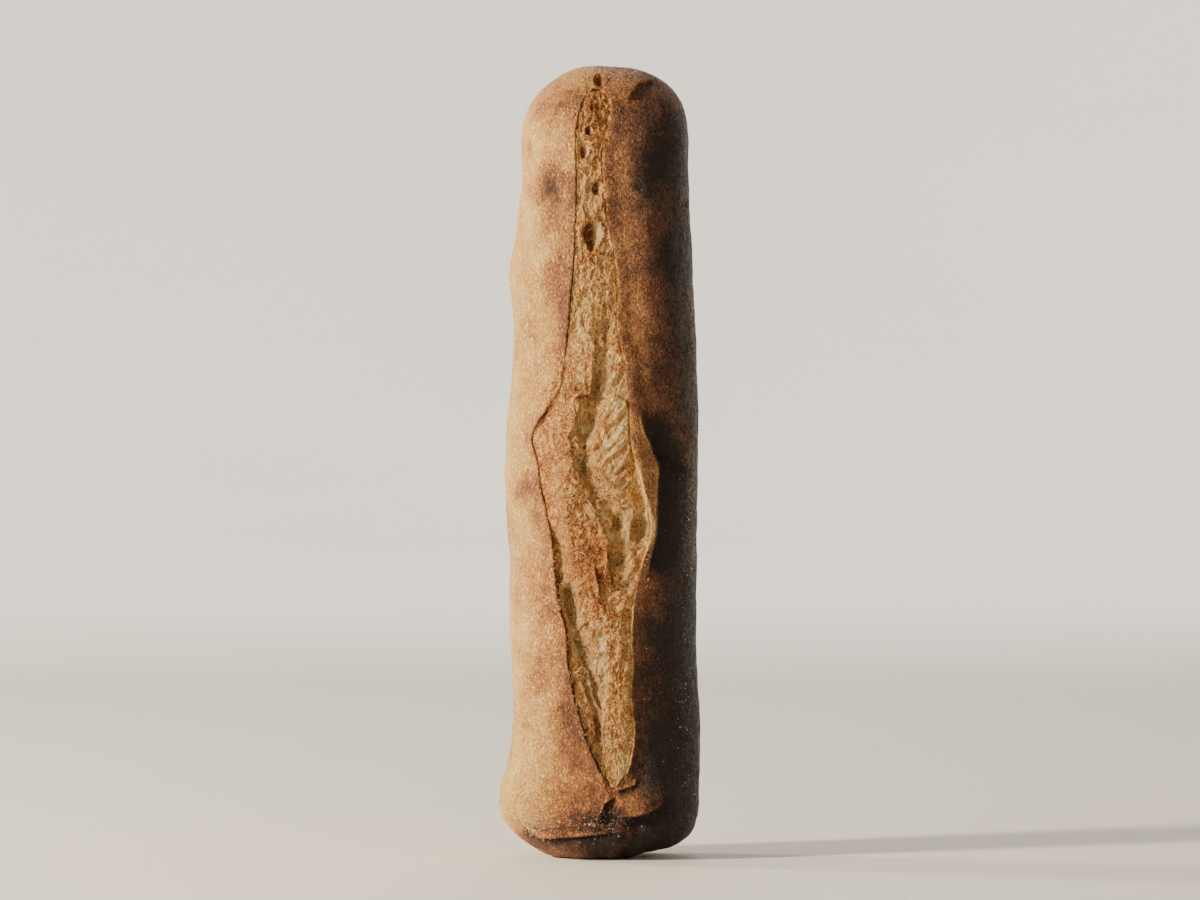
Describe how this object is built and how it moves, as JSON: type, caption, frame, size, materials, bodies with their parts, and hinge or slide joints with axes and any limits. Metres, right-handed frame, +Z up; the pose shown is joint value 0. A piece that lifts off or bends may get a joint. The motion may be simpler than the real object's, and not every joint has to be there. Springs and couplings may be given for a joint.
{
  "type": "olive oil bread",
  "caption": "Long round-ended loaf with a wandering slash down its front, a lifted ear of crust beside it, torn crumb and burst bubbles.",
  "frame": {"origin": "on the table, under the middle of the loaf's box", "axes": "+Z up along the loaf, from its flattened foot to its domed top; -Y is the front, where the slash is; +X is to the right as seen from the front"},
  "size_m": [0.092, 0.0738, 0.36],
  "materials": {
    "baked_crust": "matte, dusted with flour"
  },
  "bodies": {
    "root": {"loaf": "baked_crust"}
  },
  "joints": []
}
